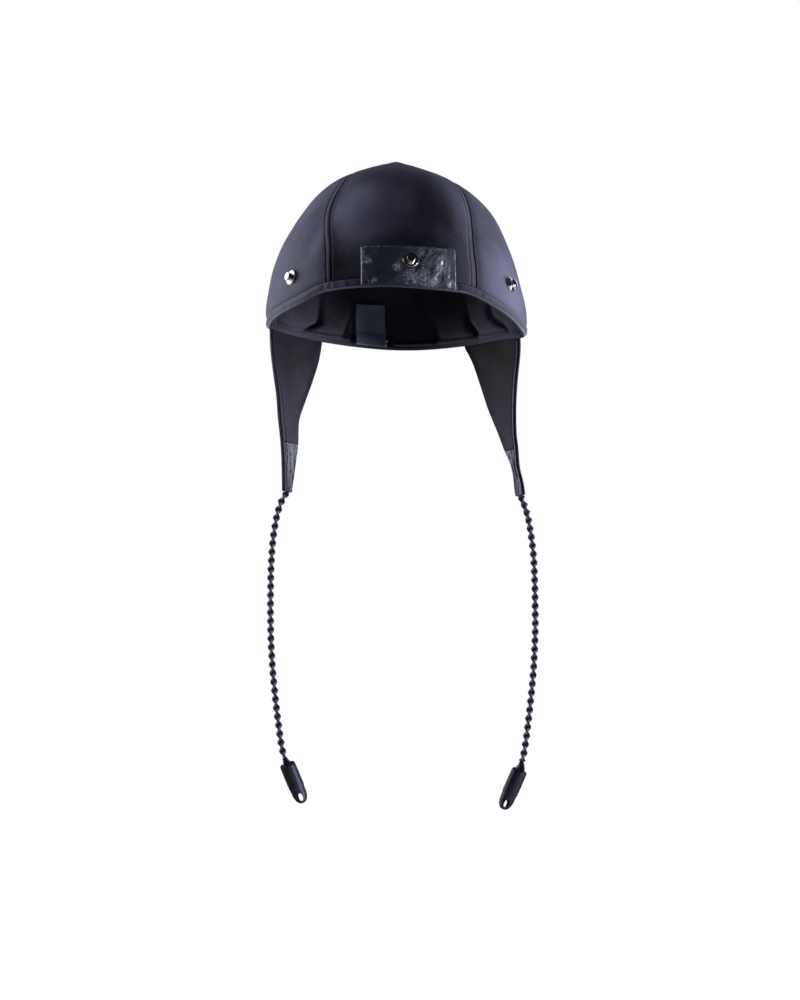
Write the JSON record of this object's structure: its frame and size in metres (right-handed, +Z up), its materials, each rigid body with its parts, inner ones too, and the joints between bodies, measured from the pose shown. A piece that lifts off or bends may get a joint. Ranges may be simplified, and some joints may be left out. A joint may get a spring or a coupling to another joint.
{
  "type": "soft helmet",
  "caption": "Soft cloth helmet with a panelled crown, a gathered lining, press studs, long ear flaps and hanging braided cords with hard cord ends.",
  "frame": {"origin": "middle of the head opening, where the helmet sits on a head, level with the hem at the back", "axes": "+Z up through the crown, -Y towards the wearer's face, +X towards the right flap as the front is seen"},
  "size_m": [0.1986, 0.2057, 0.4586],
  "materials": {
    "shell_cloth": "smooth charcoal woven cloth with a faint blue-violet tint",
    "lining_cloth": "matt near-black lining",
    "twill": "glossy blue-black diagonal twill",
    "satin": "satin ribbon, left blank",
    "braid": "twisted flat braid",
    "toggle_plastic": "satin black moulded plastic",
    "stud_chrome": "polished"
  },
  "bodies": {
    "root": {"front_panel": "shell_cloth", "side_panel_left": "shell_cloth", "side_panel_right": "shell_cloth", "back_panel_left": "shell_cloth", "back_panel_right": "shell_cloth", "hem_band": "shell_cloth", "lining": "lining_cloth", "front_patch": "twill", "care_tag": "satin", "snap_front": "stud_chrome", "snap_left": "stud_chrome", "snap_right": "stud_chrome", "flap_left": "shell_cloth", "flap_tip_left": "twill", "flap_right": "shell_cloth", "flap_tip_right": "twill", "cord_left": "braid", "cord_right": "braid", "cord_end_left": "braid", "cord_end_right": "braid", "toggle_left": "toggle_plastic", "toggle_right": "toggle_plastic"}
  },
  "joints": []
}
